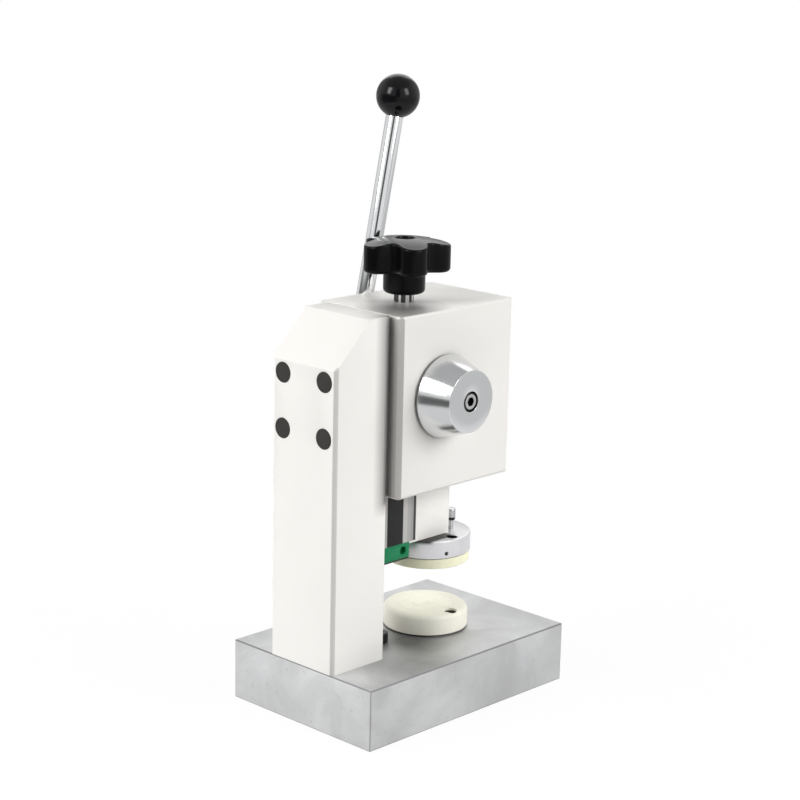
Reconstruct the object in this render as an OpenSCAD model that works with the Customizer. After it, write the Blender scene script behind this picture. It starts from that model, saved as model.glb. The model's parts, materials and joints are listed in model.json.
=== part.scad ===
// Coin cell electrode punch: a lever press that cuts small round discs from sheet.
// The origin is at the middle of the base's underside. Z is up and the operator stands at -Y.

/* [Base] */
// Width of the base plate, left to right
base_w = 110; // [100:1:140]
// Length of the base plate, front to back
base_l = 160; // [150:1:200]
// Thickness of the base plate
base_t = 35; // [30:1:45]
// Bevel on all edges of the base plate
base_bevel = 0.8; // [0.4:0.1:1.5]

/* [Column] */
// Width of the column
column_w = 50; // [46:1:60]
// Depth of the column, front to back
column_d = 41; // [38:1:46]
// Height of the column above the base plate
column_h = 195; // [190:1:220]
// Size of the slope at the top of the column's back
column_slope = 25; // [12:1:28]
// Bevel on the column's upright edges
column_bevel = 2; // [1:0.25:3]

/* [Head] */
// Width of the head block
head_w = 65; // [60:1:75]
// Depth of the head block
head_d = 91.5; // [84:0.5:96]
// Height of the head block
head_h = 102; // [98:1:106]
// Bevel on the head's upright edges
head_bevel = 2.5; // [1.5:0.25:3.5]
// Bevel on the head's level edges
head_edge = 1.5; // [0.5:0.25:2]
// Thickness of the wall above the gear pocket
top_wall = 12; // [10:0.5:13]
// Thickness of the wall in front of the gear pocket
front_wall = 24; // [18:0.5:24]
// Thickness of the wall behind the gear pocket
back_wall = 12; // [11:0.5:14]
// Distance between head bolts, across
bolt_pitch = 32; // [28:1:34]
// Distance between head bolts, up
bolt_rise = 31; // [28:0.5:34]
// Thread size of the bolts that hold the head on the column
head_bolt_d = 6; // [5:1:6]
// Thickness of column left under the heads of those bolts
head_bolt_grip = 24; // [20:1:26]
// Thickness of the plugs that cover those bolts
plug_t = 3; // [2:0.5:4]
// How far the plugs stand out of the column
plug_proud = 0.4; // [0.2:0.1:0.8]

/* [Shaft and gear] */
// Diameter of the drive shaft
shaft_d = 14; // [12:0.5:15]
// Distance from the column's front face to the shaft
shaft_reach = 35; // [34:0.5:36]
// Distance from the head's top to the shaft
shaft_drop = 48; // [46:0.5:50]
// Module of the pinion and rack teeth
gear_module = 1.5; // [1.4:0.05:1.6]
// Number of pinion teeth
pinion_teeth = 24; // [22:1:24]
// Play between pinion and rack teeth
backlash = 0.12; // [0.1:0.01:0.2]
// Radius at the bottom of the pinion's brake groove
groove_r = 13; // [12.5:0.25:14]
// Width of the pinion's brake groove
groove_w = 9; // [7:0.5:10]
// Outer diameter of the shaft bushes
bush_d = 20; // [18:0.5:24]
// Width and height of the shaft keys
key_w = 5; // [4:0.5:5]
// Length of each shaft key
key_l = 12; // [10:0.5:13]

/* [Lever and end cap] */
// Lever length from the shaft to the middle of the ball
lever_l = 160; // [130:0.5:200]
// Diameter of the lever rod
lever_d = 10; // [8:0.5:12]
// Forward tilt of the raised lever, in degrees
lever_tilt = 12; // [0:0.5:20]
// Diameter of the ball knob
ball_d = 25; // [22:1:32]
// Diameter of the threaded ends of the lever rod
lever_thread_d = 8; // [6:0.5:8]
// Outer diameter of the lever hub
hub_d = 30; // [28:1:34]
// Length of the lever hub along the shaft
hub_l = 14; // [13.5:0.5:19]
// Thickness of the washer on the lever hub
washer_t = 1.6; // [1:0.1:1.6]
// Diameter of the end cap at the head's side
cap_d = 47; // [40:1:50]
// Diameter of the end cap's outer face
cap_face_d = 35; // [30:1:38]
// Length of the end cap
cap_l = 19.5; // [17:0.5:20]
// Depth of the shaft in the end cap
cap_bite = 10; // [8:0.5:10]
// Thread size of the two screws in the shaft's ends
shaft_screw_d = 6; // [5:1:6]

/* [Star knob and brake] */
// Diameter over the tips of the star knob
star_d = 51; // [40:1:60]
// Number of lobes on the star knob
star_lobes = 5; // [4:1:7]
// Radius of each lobe's tip
lobe_r = 8; // [6:0.5:9]
// Height of the star at its edge
star_h = 15; // [10:0.5:18]
// How far the star's top rises in the middle
star_dome = 3.5; // [2:0.5:5]
// Turn of the star from the front, in degrees
star_turn = 5.4; // [0:0.1:71]
// Diameter of the star knob's hub
knob_hub_d = 23.5; // [20:0.5:26]
// Height of the star knob's hub
knob_hub_h = 12.5; // [8:0.5:16]
// Diameter of the brake screw
brake_screw_d = 6; // [5:0.5:6]
// Width across the flats of the bush under the knob
bush_hex = 10; // [9:0.5:13]
// Height of the bush's six-sided collar
bush_hex_h = 4.5; // [3:0.5:6]
// Height of the brake pad
pad_block_h = 10; // [8:0.5:12]

/* [Linear guide] */
// Width of the guide rail
rail_w = 15; // [14:0.5:15.5]
// Height of the guide rail
rail_h = 15; // [14:0.5:15.5]
// Distance from the column's front face to the guide block's front face
guide_h = 27; // [26.5:0.5:28]
// Width of the guide block
block_w = 34; // [33:0.5:36]
// Length of the guide block's steel body
block_l = 42; // [38:1:44]
// Length of each plastic end cap of the guide block
block_cap_l = 9; // [8:0.5:10]
// Thickness of each end seal
seal_t = 1; // [0.8:0.1:1.5]
// Diameter of the balls in the guide block
guide_ball_d = 3; // [2.5:0.25:3]
// Number of loaded balls in each row
balls_per_row = 9; // [6:1:10]
// Distance between guide block screws, across and along
block_pitch = 26; // [22:0.5:26]
// Distance between rail screws
rail_pitch = 60; // [50:1:70]

/* [Ram and tool] */
// Width of the ram
ram_w = 24; // [24:0.5:25]
// Depth of the ram below the gear
ram_d = 33; // [32.5:0.25:34]
// Thickness of the plate between guide block and ram
plate_t = 4; // [3:0.5:4.5]
// Thickness of the rack behind its teeth
rack_back = 3.6; // [3:0.1:4]
// Distance from the column's front face to the punch's axis
punch_reach = 59; // [57:0.5:60]
// Diameter of the tool flange
flange_d = 50; // [49:0.5:56]
// Thickness of the tool flange
flange_t = 10.6; // [8:0.1:12]
// Diameter of the stripper ring
stripper_d = 49; // [48:0.5:52]
// Thickness of the stripper ring
stripper_t = 5.9; // [4:0.1:8]
// Diameter of the cutting pad
pad_d = 49; // [47.5:0.5:56]
// Thickness of the cutting pad
pad_t = 13; // [11:0.5:16]
// Open height between stripper ring and cutting pad with the lever up
daylight = 28; // [24:0.5:32]
// Diameter of the discs that the knife cuts
knife_d = 16; // [12:0.5:16]
// Distance from the punch's axis to the pad screw and to the access holes above it
pad_screw_r = 19.5; // [19.5:0.25:20.5]

/* [Hidden] */
$fn = 64;
eps = 0.01;

// Clearances and tapped depths
seat_gap = 0.02;
running_gap = 0.04;
thread_gap = 0.05;
side_gap = 0.5;
stop_gap = 0.3;
closing_gap = 0.2;
head_clear = 0.3;
wide_head_clear = 0.75;
hole_clear = 0.3;
tap_extra = 2;

// Levels and planes of the frame
column_back = base_l / 2;
column_front = column_back - column_d;
column_top = base_t + column_h;
head_bottom = column_top - head_h;
head_front = column_front - head_d;
shaft_y = column_front - shaft_reach;
shaft_z = column_top - shaft_drop;
punch_y = column_front - punch_reach;

// Levels of the tool, from the pad upwards
pad_top = base_t + pad_t;
stripper_z = pad_top + daylight;
flange_z = stripper_z + stripper_t;
ram_z = flange_z + flange_t;
stroke = daylight - closing_gap;

// Pocket in the head
pocket_gap = 1;
pocket_w = block_w + 2 * pocket_gap;
ceiling_z = column_top - top_wall;
pocket_front = head_front + front_wall;
pocket_back = column_front - back_wall;

// Linear guide
guide_face = column_front - guide_h;
block_drop = 6.5;
block_z = ram_z - block_drop;
block_total = block_l + 2 * (block_cap_l + seal_t);
block_body_z = block_z + seal_t + block_cap_l;
block_mid_z = block_body_z + block_l / 2;
rail_over = 2;
rail_under = 6;
rail_z = block_z - stroke - rail_under;
rail_top = block_z + block_total + rail_over;
rail_l = rail_top - rail_z;
rail_mid_z = (rail_z + rail_top) / 2;
block_foot_gap = 4;
channel_gap = 0.7;
ball_row_x = (rail_w + channel_gap) / 2;
ball_row_in = 5.5;
ball_rows_apart = 5.5;
ball_rows_y = [column_front - ball_row_in, column_front - ball_row_in - ball_rows_apart];
block_tap = 6;
block_screw_d = 4;
rail_screw_d = 4;
rail_screw_bite = 8;
rail_seat_y = column_front - rail_h + rail_screw_d + 2 * head_clear;
rail_screws_z = [rail_mid_z - rail_pitch / 2, rail_mid_z + rail_pitch / 2];
rail_waist = 1.2;
rail_waist_in = [4, 6.5, 9, 11.5];
cap_inset = 0.4;
port_d = 4.8;
port_depth = 3;
port_in = 5.5;
port_y = guide_face + port_in;
cap_screw_d = 2.5;
cap_screw_x = 12;
cap_screw_in = 6.5;
cap_screw_bite = 4;

// Head bolts and plugs
plug_hole_d = cap_head_d(head_bolt_d) + 2 * wide_head_clear;
head_bolt_room = 1;
bolt_lift = 0.5;
bolt_mid_z = shaft_z + bolt_lift;

// Pinion and rack
pitch_r = gear_module * pinion_teeth / 2;
tip_r = pitch_r + gear_module;
root_r = pitch_r - 1.25 * gear_module;
pressure_angle = 20;
involute_r = pitch_r * cos(pressure_angle);
tooth_pitch = PI * gear_module;
flank_steps = 4;
pinion_w = ram_w;
rack_line_y = shaft_y - pitch_r;
rack_root_y = rack_line_y - 1.25 * gear_module;
rack_face_y = rack_root_y - rack_back;
rack_tail = 10;
rack_z = shaft_z - rack_tail;
rack_screw_d = 4;
rack_screw_pitch = 14;
spacer_less = 1;
key_in_shaft = 3;
key_reach = shaft_d / 2 + key_w - key_in_shaft;

// Ram
plate_face = guide_face - plate_t;
ram_face = plate_face - ram_d;
ram_top = ceiling_z - stop_gap;
rack_mid_z = (rack_z + ram_top) / 2;
rack_screws_z = [rack_mid_z - rack_screw_pitch, rack_mid_z, rack_mid_z + rack_screw_pitch];
shoulder_gap = 6;
ram_shoulder = shaft_z - tip_r - shoulder_gap;
plate_top = block_body_z + block_l + block_cap_l + seal_t;
ram_screw_d = 5;
ram_screw_grip = 16;
ram_screw_rise = 14;
ram_screw_pitch = 36;
ram_screws_z = [ram_z + ram_screw_rise, ram_z + ram_screw_rise + ram_screw_pitch];

// Lever side and end cap side of the shaft
side_x = head_w / 2;
hub_x = side_x + side_gap;
hub_end_x = hub_x + hub_l;
rod_x = hub_x + hub_l / 2;
shaft_short = 0.5;
shaft_right_x = hub_end_x - shaft_short;
cap_x = side_x + side_gap;
cap_land = 1.5;
shaft_left_x = cap_x + cap_bite - closing_gap;
shaft_screw_l = 14;
cap_screw_seat = cap_l - shaft_screw_d - head_clear;
washer_d = 20;
ball_flat = 1;
ball_bite = 9;
ball_foot = lever_l - ball_d / 2 + ball_flat;
hub_thread_gap = 0.2;
hub_bevel = 1;

// Brake
brake_clear = 0.3;
pad_block_w = groove_w - 1;
pad_block_l = 12;
pad_sink = 1;
pad_hollow = 3;
pad_block_top = shaft_z + groove_r + pad_block_h - pad_sink;
spigot_d = 4;
spigot_l = 3;
bush_body_d = 9;
knob_z = column_top + bush_hex_h + side_gap;
insert_d = 10;
insert_l = 13;
screw_into_knob = 11;
star_z = knob_z + knob_hub_h;
star_hole_d = 11;
star_hole_depth = 3;
star_core_r = 15.5;
star_bevel = 1.5;
dome_steps = 8;

// Tool
flange_bevel = 0.5;
flange_screw_d = 5;
flange_screw_x = 8;
flange_screw_reach = 14.5;
flange_screw_bite = 10;
flange_screw_seat = flange_z + flange_screw_d + closing_gap;
access_d = 6;
knife_r = knife_d / 2;
knife_body_d = 22;
knife_seat = 6;
knife_wall = 1.5;
knife_edge = 0.2;
knife_taper = 2.5;
vent_d = 6;
set_screw_d = 2;
set_screw_turn = 160;
set_screw_l = 8;
set_screw_key = 2;
set_screw_in = 0.1;
stripper_gap = 0.3;
stripper_bevel = 0.4;
stud_d = 3;
stud_x = 8;
stud_reach = 11;
stud_bite = 2;
stud_neck = 5.5;
stud_nut_h = 1.7;
stud_nut_w = 4.8;
stud_nut_z = ram_z + stud_neck;
stud_head_z = stud_nut_z + stud_nut_h;
stud_head_d = 5.5;
stud_head_h = 5.2;
stud_groove = 0.35;
stud_grooves = 3;
pad_round = 3;
round_steps = 6;
pad_foot_bevel = 1.2;
pad_screw_d = 4;
pad_screw_sink = 8;
pad_screw_grip = pad_t - pad_screw_sink;
pad_screw_bite = 7;

// Base and column fastening
column_bolt_d = 8;
column_bolt_x = 14;
column_bolt_in = 12;
column_bolt_pitch = 16;
column_bolt_grip = 15;
column_bolt_bite = 20;
base_screw_d = 6;
base_screw_x = -3.7;
base_screw_reach = 17;
base_screw_y = column_front - base_screw_reach;
base_screw_bite = 12;

// Colours
off_white = [0.92, 0.91, 0.89];
ground_steel = [0.72, 0.73, 0.73];
bright_steel = [0.8, 0.81, 0.82];
satin_aluminium = [0.78, 0.78, 0.8];
black_steel = [0.13, 0.13, 0.14];
block_steel = [0.2, 0.19, 0.19];
gloss_black = [0.05, 0.05, 0.06];
cap_green = [0.18, 0.53, 0.35];
bronze = [0.72, 0.53, 0.26];
ivory = [0.93, 0.92, 0.8];
pad_ivory = [0.95, 0.93, 0.87];

// Standard proportions of screws
function cap_head_d(d) = 1.5 * d + 1;
function hex_key(d) = 0.75 * d + 0.25;
function flat_head_d(d) = 1.9 * d;
function flat_key(d) = 0.6 * d;
function grub_key(d) = 0.5 * d;
function pan_head_d(d) = 1.8 * d;

// Corners of a rectangle with its corners cut off
function cut_corners(w, d, c) = [
    [-w / 2 + c, -d / 2], [w / 2 - c, -d / 2], [w / 2, -d / 2 + c], [w / 2, d / 2 - c],
    [w / 2 - c, d / 2], [-w / 2 + c, d / 2], [-w / 2, d / 2 - c], [-w / 2, -d / 2 + c]
];

// Block centred in X and Y, standing on Z = 0, with upright and level edges bevelled
module bevelled_block(w, d, h, upright, level) {
    intersection() {
        linear_extrude(h) polygon(cut_corners(w, d, upright));
        translate([0, d / 2, h / 2]) rotate([90, 0, 0])
            linear_extrude(d) polygon(cut_corners(w, h, level));
        translate([-w / 2, 0, h / 2]) rotate([90, 0, 90])
            linear_extrude(w) polygon(cut_corners(d, h, level));
    }
}

// Round bar along X from x0 to x1
module bar_x(d, x0, x1, y, z) {
    translate([min(x0, x1), y, z]) rotate([0, 90, 0]) cylinder(d = d, h = abs(x1 - x0));
}

// Round bar along Y from y0 to y1
module bar_y(d, y0, y1, x, z) {
    translate([x, max(y0, y1), z]) rotate([90, 0, 0]) cylinder(d = d, h = abs(y1 - y0));
}

// Round bar along Z from z0 to z1
module bar_z(d, z0, z1, x, y) {
    translate([x, y, min(z0, z1)]) cylinder(d = d, h = abs(z1 - z0));
}

// Box between two corners
module box_between(low, high) {
    translate(low) cube(high - low);
}

// Shape drawn in the Y and Z plane and extruded along X about the middle
module prism_x(w, x = 0) {
    translate([x - w / 2, 0, 0]) rotate([90, 0, 90]) linear_extrude(w) children();
}

// Socket head cap screw: the head stands on Z = 0 and the shank points down
module cap_screw(d, l) {
    difference() {
        union() {
            cylinder(d = cap_head_d(d), h = d);
            translate([0, 0, -l]) cylinder(d = d, h = l + d / 2);
        }
        translate([0, 0, d / 2]) cylinder(d = hex_key(d) / cos(30), h = d, $fn = 6);
    }
}

// Countersunk screw: the head's flat top lies at Z = 0
module flat_screw(d, l) {
    head_h = (flat_head_d(d) - d) / 2;
    difference() {
        union() {
            translate([0, 0, -head_h]) cylinder(d1 = d, d2 = flat_head_d(d), h = head_h);
            translate([0, 0, -l]) cylinder(d = d, h = l - head_h / 2);
        }
        translate([0, 0, -head_h / 2]) cylinder(d = flat_key(d) / cos(30), h = head_h, $fn = 6);
    }
}

// Room for a countersunk head under a face at Z = 0
module flat_head_room(d) {
    head_h = (flat_head_d(d) - d) / 2;
    translate([0, 0, -head_h - seat_gap])
        cylinder(d1 = d, d2 = flat_head_d(d) + 2 * seat_gap, h = head_h + 2 * seat_gap);
}

// Places of the four screws of a rectangular pattern
function four(x, y) = [[-x, -y], [x, -y], [-x, y], [x, y]];

// Points on the flank of a pinion tooth: the half angle that the tooth holds at radius r
function involute_turn(r) =
    let (a = acos(min(1, involute_r / r))) tan(a) * 180 / PI - a;
function tooth_half(r) =
    90 / pinion_teeth + involute_turn(pitch_r) - involute_turn(r)
    - backlash / 4 / pitch_r * 180 / PI;
function flank_radius(i) = involute_r + (tip_r - involute_r) * i / flank_steps;
function polar(r, a) = [r * cos(a), r * sin(a)];
function tooth_points(middle) = concat(
    [polar(root_r, middle - tooth_half(involute_r))],
    [for (i = [0:flank_steps]) polar(flank_radius(i), middle - tooth_half(flank_radius(i)))],
    [for (i = [flank_steps:-1:0]) polar(flank_radius(i), middle + tooth_half(flank_radius(i)))],
    [polar(root_r, middle + tooth_half(involute_r))]
);

// Outline of one rack tooth about the height z, in the Y and Z plane
function rack_half(y) =
    tooth_pitch / 4 - backlash / 4 - (y - rack_line_y) * tan(pressure_angle);
function rack_tooth(z) = [
    [rack_root_y - eps, z - rack_half(rack_root_y)],
    [rack_line_y + gear_module, z - rack_half(rack_line_y + gear_module)],
    [rack_line_y + gear_module, z + rack_half(rack_line_y + gear_module)],
    [rack_root_y - eps, z + rack_half(rack_root_y)]
];

// Direction of the raised lever, applied to what is built along Z from the shaft
module on_lever() {
    translate([rod_x, shaft_y, shaft_z]) rotate([lever_tilt, 0, 0]) children();
}

// What lies on the punch's axis, lifted to height z
module on_punch(z) {
    translate([0, punch_y, z]) children();
}

module base_plate() {
    color(ground_steel) difference() {
        bevelled_block(base_w, base_l, base_t, base_bevel, base_bevel);
        for (p = column_bolt_places()) {
            bar_z(column_bolt_d + 2 * hole_clear, -1, base_t + 1, p.x, p.y);
            bar_z(cap_head_d(column_bolt_d) + 2 * head_clear, -1,
                base_t - column_bolt_grip, p.x, p.y);
        }
        bar_z(pad_screw_d + 2 * thread_gap, base_t - pad_screw_bite - tap_extra, base_t + 1,
            -pad_screw_r, punch_y);
        bar_z(base_screw_d + 2 * thread_gap, base_t - base_screw_bite - tap_extra, base_t + 1,
            base_screw_x, base_screw_y);
    }
}

function bolt_places() = [
    for (p = four(bolt_pitch / 2, bolt_rise / 2)) [p.x, bolt_mid_z + p.y]
];

function column_bolt_places() = [
    for (p = four(column_bolt_x, column_bolt_pitch / 2))
        [p.x, column_front + column_bolt_in + column_bolt_pitch / 2 + p.y]
];

module column_bolts() {
    color(black_steel) for (p = column_bolt_places())
        translate([p.x, p.y, base_t - column_bolt_grip]) rotate([180, 0, 0])
            cap_screw(column_bolt_d, column_bolt_grip + column_bolt_bite);
}

// The column's outline seen from the side, with the slope at the back of its top
function column_side() = [
    [column_front, base_t], [column_back, base_t], [column_back, column_top - column_slope],
    [column_back - column_slope, column_top], [column_front, column_top]
];

module column() {
    color(off_white) difference() {
        intersection() {
            prism_x(column_w) polygon(column_side());
            translate([0, (column_front + column_back) / 2, base_t])
                linear_extrude(column_h)
                    polygon(cut_corners(column_w, column_d, column_bevel));
        }
        for (p = bolt_places()) {
            bar_y(head_bolt_d + 2 * hole_clear, column_front - 1, column_back + 1,
                p.x, p.y);
            bar_y(plug_hole_d, column_front + head_bolt_grip, column_back + 1,
                p.x, p.y);
        }
        for (z = rail_screws_z)
            bar_y(rail_screw_d + 2 * thread_gap, column_front - 1,
                column_front + rail_screw_bite + tap_extra, 0, z);
        for (p = column_bolt_places())
            bar_z(column_bolt_d + 2 * thread_gap, base_t - 1,
                base_t + column_bolt_bite + tap_extra, p.x, p.y);
    }
}

module head_bolts() {
    color(black_steel) for (p = bolt_places())
        translate([p.x, column_front + head_bolt_grip, p.y]) rotate([-90, 0, 0])
            cap_screw(head_bolt_d, head_bolt_grip + back_wall - head_bolt_room);
}

module bolt_plugs() {
    color(gloss_black) for (p = bolt_places())
        bar_y(plug_hole_d - 2 * seat_gap, column_back - plug_t, column_back + plug_proud,
            p.x, p.y);
}

module head_housing() {
    color(off_white) difference() {
        translate([0, (head_front + column_front) / 2, head_bottom])
            bevelled_block(head_w, head_d, head_h, head_bevel, head_edge);
        box_between([-pocket_w / 2, pocket_front, head_bottom - 1],
            [pocket_w / 2, pocket_back, ceiling_z]);
        box_between([-pocket_w / 2, pocket_back - 1, head_bottom - 1],
            [pocket_w / 2, column_front + 1, rail_top + rail_over]);
        bar_x(bush_d + 2 * seat_gap, -side_x - 1, side_x + 1, shaft_y, shaft_z);
        bar_z(bush_body_d + 2 * seat_gap, ceiling_z - 1, column_top + 1, 0, shaft_y);
        for (p = bolt_places())
            bar_y(head_bolt_d + 2 * thread_gap, pocket_back - 1, column_front + 1,
                p.x, p.y);
    }
}

// Outline of the rail's section, with a waist on both sides
function rail_side(side) = [
    [side * rail_w / 2, column_front],
    [side * rail_w / 2, column_front - rail_waist_in[0]],
    [side * (rail_w / 2 - rail_waist), column_front - rail_waist_in[1]],
    [side * (rail_w / 2 - rail_waist), column_front - rail_waist_in[2]],
    [side * rail_w / 2, column_front - rail_waist_in[3]],
    [side * rail_w / 2, column_front - rail_h]
];
function reversed(list) = [for (i = [len(list) - 1:-1:0]) list[i]];

module ball_grooves(z0, z1) {
    for (side = [-1, 1])
        for (y = ball_rows_y)
            bar_z(guide_ball_d + 2 * running_gap, z0, z1, side * ball_row_x, y);
}

module guide_rail() {
    color(bright_steel) difference() {
        translate([0, 0, rail_z]) linear_extrude(rail_l)
            polygon(concat(rail_side(1), reversed(rail_side(-1))));
        ball_grooves(rail_z - 1, rail_top + 1);
        for (z = rail_screws_z) {
            bar_y(rail_screw_d + 2 * hole_clear, column_front - rail_h - 1, column_front + 1, 0, z);
            bar_y(cap_head_d(rail_screw_d) + 2 * head_clear, column_front - rail_h - 1,
                rail_seat_y, 0, z);
        }
    }
}

module rail_screws() {
    color(black_steel) for (z = rail_screws_z)
        translate([0, rail_seat_y, z]) rotate([90, 0, 0])
            cap_screw(rail_screw_d, column_front + rail_screw_bite - rail_seat_y);
}

// Section shared by the guide block and its end parts, open around the rail
module carriage(inset, z0, z1) {
    difference() {
        box_between([-block_w / 2 + inset, guide_face + inset, z0],
            [block_w / 2 - inset, column_front - block_foot_gap - inset, z1]);
        box_between([-rail_w / 2 - channel_gap, column_front - rail_h - channel_gap, z0 - 1],
            [rail_w / 2 + channel_gap, column_front, z1 + 1]);
    }
}

function block_screw_places() =
    [for (p = four(block_pitch / 2, block_pitch / 2)) [p.x, block_mid_z + p.y]];
function cap_screw_places() = [for (side = [-1, 1]) [side * cap_screw_x, guide_face + cap_screw_in]];

module guide_block() {
    color(block_steel) difference() {
        carriage(0, block_body_z, block_body_z + block_l);
        ball_grooves(block_body_z - 1, block_body_z + block_l + 1);
        for (p = block_screw_places())
            bar_y(block_screw_d + 2 * thread_gap, guide_face - 1, guide_face + block_tap, p.x, p.y);
        for (p = cap_screw_places()) {
            bar_z(cap_screw_d + 2 * thread_gap, block_body_z - 1,
                block_body_z + cap_screw_bite + tap_extra / 2, p.x, p.y);
            bar_z(cap_screw_d + 2 * thread_gap,
                block_body_z + block_l - cap_screw_bite - tap_extra / 2,
                block_body_z + block_l + 1, p.x, p.y);
        }
    }
}

// The lower and upper end caps, with a lubrication port on both sides of each
module guide_end_caps() {
    color(cap_green) for (z = [block_body_z - block_cap_l, block_body_z + block_l])
        difference() {
            carriage(cap_inset, z, z + block_cap_l);
            for (side = [-1, 1])
                bar_x(port_d, side * (block_w / 2 + 1),
                    side * (block_w / 2 - cap_inset - port_depth),
                    port_y, z + block_cap_l / 2);
            for (p = cap_screw_places())
                bar_z(cap_screw_d + 2 * hole_clear, z - 1, z + block_cap_l + 1, p.x, p.y);
        }
}

module guide_end_seals() {
    color(black_steel) for (z = [block_z, block_z + block_total - seal_t])
        difference() {
            carriage(2 * cap_inset, z, z + seal_t);
            for (p = cap_screw_places())
                bar_z(cap_screw_d + 2 * hole_clear, z - 1, z + seal_t + 1, p.x, p.y);
        }
}

module guide_cap_screws() {
    screw_l = seal_t + block_cap_l + cap_screw_bite;
    color(bright_steel) for (p = cap_screw_places()) {
        translate([p.x, p.y, block_z]) rotate([180, 0, 0]) pan_screw(cap_screw_d, screw_l);
        translate([p.x, p.y, block_z + block_total]) pan_screw(cap_screw_d, screw_l);
    }
}

// Small pan head screw with a cross slot
module pan_screw(d, l) {
    head_h = d / 2;
    slot_l = 1.2 * d;
    slot_w = d / 5;
    difference() {
        union() {
            cylinder(d = pan_head_d(d), h = head_h);
            translate([0, 0, -l]) cylinder(d = d, h = l + head_h / 2);
        }
        for (turn = [0, 90])
            rotate([0, 0, turn]) translate([-slot_l / 2, -slot_w / 2, head_h / 2])
                cube([slot_l, slot_w, d]);
    }
}

module guide_balls() {
    ball_step = block_l / balls_per_row;
    color(bright_steel) for (side = [-1, 1])
        for (y = ball_rows_y)
            for (i = [0:balls_per_row - 1])
                translate([side * ball_row_x, y, block_body_z + (i + 0.5) * ball_step])
                    sphere(d = guide_ball_d, $fn = 24);
}

module slide_plate() {
    color(black_steel) difference() {
        box_between([-block_w / 2, plate_face, block_body_z], [block_w / 2, guide_face, plate_top]);
        for (p = block_screw_places()) {
            bar_y(block_screw_d + 2 * hole_clear, plate_face - 1, guide_face + 1, p.x, p.y);
            translate([p.x, plate_face, p.y]) rotate([90, 0, 0]) flat_head_room(block_screw_d);
        }
        for (z = ram_screws_z)
            bar_y(ram_screw_d + 2 * thread_gap, plate_face - 1, guide_face + 1, 0, z);
    }
}

module plate_screws() {
    color(bright_steel) for (p = block_screw_places())
        translate([p.x, plate_face, p.y]) rotate([90, 0, 0])
            flat_screw(block_screw_d, plate_t + block_tap - 1);
}

// The ram is a full block below the gear and a thin bar beside it
module ram() {
    color(off_white) difference() {
        union() {
            box_between([-ram_w / 2, ram_face, ram_z], [ram_w / 2, plate_face, ram_shoulder]);
            box_between([-ram_w / 2, ram_face, ram_z], [ram_w / 2, rack_face_y, ram_top]);
        }
        for (z = ram_screws_z) {
            bar_y(ram_screw_d + 2 * hole_clear, ram_face - 1, plate_face + 1, 0, z);
            bar_y(cap_head_d(ram_screw_d) + 2 * head_clear, ram_face - 1,
                plate_face - ram_screw_grip, 0, z);
        }
        for (z = rack_screws_z) {
            bar_y(rack_screw_d + 2 * hole_clear, ram_face - 1, rack_face_y + 1, 0, z);
            translate([0, ram_face, z]) rotate([90, 0, 0]) flat_head_room(rack_screw_d);
        }
        for (side = [-1, 1])
            bar_z(flange_screw_d + 2 * thread_gap, ram_z - 1,
                ram_z + flange_screw_bite + tap_extra,
                side * flange_screw_x, punch_y + flange_screw_reach);
    }
}

module ram_screws() {
    color(black_steel) for (z = ram_screws_z)
        translate([0, plate_face - ram_screw_grip, z]) rotate([90, 0, 0])
            cap_screw(ram_screw_d, ram_screw_grip + plate_t - closing_gap);
}

module rack() {
    teeth_up = ceil((ram_top - shaft_z) / tooth_pitch);
    teeth_down = -ceil(rack_tail / tooth_pitch);
    color(bright_steel) difference() {
        union() {
            box_between([-ram_w / 2, rack_face_y, rack_z], [ram_w / 2, rack_root_y, ram_top]);
            intersection() {
                prism_x(ram_w) for (i = [teeth_down:teeth_up])
                    polygon(rack_tooth(shaft_z + i * tooth_pitch));
                box_between([-ram_w, rack_face_y, rack_z], [ram_w, shaft_y, ram_top]);
            }
        }
        for (z = rack_screws_z)
            bar_y(rack_screw_d + 2 * thread_gap, rack_face_y - 1, rack_root_y + gear_module + 2,
                0, z);
    }
}

module rack_screws() {
    color(black_steel) for (z = rack_screws_z)
        translate([0, ram_face, z]) rotate([90, 0, 0])
            flat_screw(rack_screw_d, rack_root_y - ram_face - closing_gap);
}

// Slot for a key in the shaft or in what turns with it, below the axis
module key_room(x, reach, gap) {
    box_between([x - key_l / 2 - gap, shaft_y - key_w / 2 - gap, shaft_z - reach - gap],
        [x + key_l / 2 + gap, shaft_y + key_w / 2 + gap, shaft_z - shaft_d / 2 + key_in_shaft + gap]);
}

module drive_shaft() {
    color(bright_steel) difference() {
        bar_x(shaft_d, -shaft_left_x, shaft_right_x, shaft_y, shaft_z);
        for (x = [0, rod_x])
            key_room(x, key_reach, seat_gap);
        bar_x(shaft_screw_d + 2 * thread_gap, shaft_right_x - shaft_screw_l - tap_extra,
            shaft_right_x + 1, shaft_y, shaft_z);
        bar_x(shaft_screw_d + 2 * thread_gap, -shaft_left_x - 1,
            -shaft_left_x + shaft_screw_l + tap_extra, shaft_y, shaft_z);
    }
}

module pinion() {
    tooth_turn = 360 / pinion_teeth;
    color(bright_steel) difference() {
        translate([0, shaft_y, shaft_z]) prism_x(pinion_w)
            polygon([for (i = [0:pinion_teeth - 1]) each tooth_points(180 + (i + 0.5) * tooth_turn)]);
        difference() {
            bar_x(4 * tip_r, -groove_w / 2, groove_w / 2, shaft_y, shaft_z);
            bar_x(2 * groove_r, -groove_w, groove_w, shaft_y, shaft_z);
        }
        bar_x(shaft_d + 2 * seat_gap, -pinion_w, pinion_w, shaft_y, shaft_z);
        key_room(0, key_reach, seat_gap);
    }
}

module shaft_keys() {
    color(bright_steel) for (x = [0, rod_x])
        key_room(x, key_reach, 0);
}

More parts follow.
